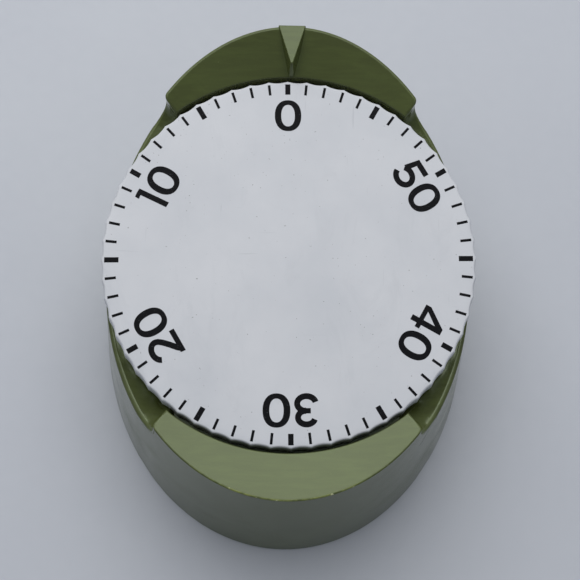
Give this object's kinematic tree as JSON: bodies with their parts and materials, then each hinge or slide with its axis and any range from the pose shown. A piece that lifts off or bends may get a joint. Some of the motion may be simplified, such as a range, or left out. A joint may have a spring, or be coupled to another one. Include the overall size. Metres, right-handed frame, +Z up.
{
  "type": "wind-up interval timer",
  "caption": "Spring-wound sixty-minute interval timer with a flared oval case, two raised rims, a moulded pointer and a sloping fluted dial.",
  "frame": {"origin": "on the table, under the middle of the case's bottom rim", "axes": "+Z up, +Y from the front of the case to its back along its length, +X to the right as seen from the front; the dial's axis is in the YZ plane, tipped 10 degrees from +Z towards the front"},
  "size_m": [0.0892, 0.1134, 0.0573],
  "materials": {
    "case_olive": "glossy moulded",
    "dial_white": "satin moulded",
    "cover_grey": "fine textured",
    "steel": "bright turned",
    "plate_steel": "yellow passivated",
    "brass": "stamped",
    "spring_steel": "blued",
    "bell_steel": "nickel plated"
  },
  "bodies": {
    "case": {"casing": "case_olive", "base_cover": "cover_grey", "base_screws": "steel", "front_plate": "plate_steel", "back_plate": "plate_steel", "pillars": "steel", "pillar_screws": "steel", "movement_screws": "steel", "stop_pin": "steel", "mainspring": "spring_steel", "hammer_spring": "spring_steel", "bell_post": "steel", "bell": "bell_steel", "bell_screw": "steel"},
    "dial": {"dial": "dial_white", "dial_clip": "spring_steel", "main_arbor": "steel", "strike_cam": "brass", "ratchet_wheel": "steel"},
    "great_wheel": {"great_wheel": "brass", "click_pivot": "steel", "click_spring": "spring_steel"},
    "click": {"click": "steel"},
    "second": {"second_pinion": "steel", "second_wheel": "brass"},
    "third": {"third_pinion": "steel", "third_wheel": "brass"},
    "escape": {"escape_pinion": "steel", "escape_wheel": "brass"},
    "pallet": {"pallet_arbor": "steel", "pallet": "steel", "pallet_pins": "steel", "inertia_bar": "brass"},
    "hammer": {"hammer_arbor": "steel", "hammer_tail": "steel", "hammer_arm": "steel", "hammer_head": "brass"}
  },
  "joints": [
    {"name": "dial_turn", "type": "hinge", "parent": "case", "child": "dial", "pos_m": [0, -0.0007, 0.0439], "axis": [0, -0.1736, 0.9848], "range_deg": [-351.98, 0], "deforming": ["mainspring"]},
    {"name": "great_wheel_turn", "type": "hinge", "parent": "case", "child": "great_wheel", "pos_m": [0, 0.00381, 0.01829], "axis": [0, -0.1736, 0.9848], "range_deg": [-352.98, 1]},
    {"name": "second_turn", "type": "hinge", "parent": "case", "child": "second", "pos_m": [-0.02302, -0.00513, 0.02078], "axis": [0, -0.1736, 0.9848], "range_deg": [-1, 2112.91]},
    {"name": "third_turn", "type": "hinge", "parent": "case", "child": "third", "pos_m": [-0.01333, -0.01829, 0.01846], "axis": [0, -0.1736, 0.9848], "range_deg": [-11827.67, 1]},
    {"name": "escape_turn", "type": "hinge", "parent": "case", "child": "escape", "pos_m": [0.00042, -0.02248, 0.01772], "axis": [0, -0.1736, 0.9848], "range_deg": [-1, 63865]},
    {"name": "click_swing", "type": "hinge", "parent": "great_wheel", "child": "click", "pos_m": [0.00703, 0.01124, 0.02113], "axis": [0, -0.1736, 0.9848], "range_deg": [0, 9], "deforming": ["click_spring"]},
    {"name": "pallet_rock", "type": "hinge", "parent": "case", "child": "pallet", "pos_m": [0.01156, -0.0199, 0.01868], "axis": [0, -0.1736, 0.9848], "range_deg": [-5, 5]},
    {"name": "hammer_swing", "type": "hinge", "parent": "case", "child": "hammer", "pos_m": [0.0255, 0.00758, 0.01997], "axis": [0, -0.1736, 0.9848], "range_deg": [0, 9], "deforming": ["hammer_spring"]}
  ],
  "couplings": [
    {"joint": "great_wheel_turn", "follows": "dial_turn", "ratio": 1},
    {"joint": "second_turn", "follows": "dial_turn", "ratio": -6},
    {"joint": "third_turn", "follows": "dial_turn", "ratio": 33.6},
    {"joint": "escape_turn", "follows": "dial_turn", "ratio": -181.44}
  ]
}
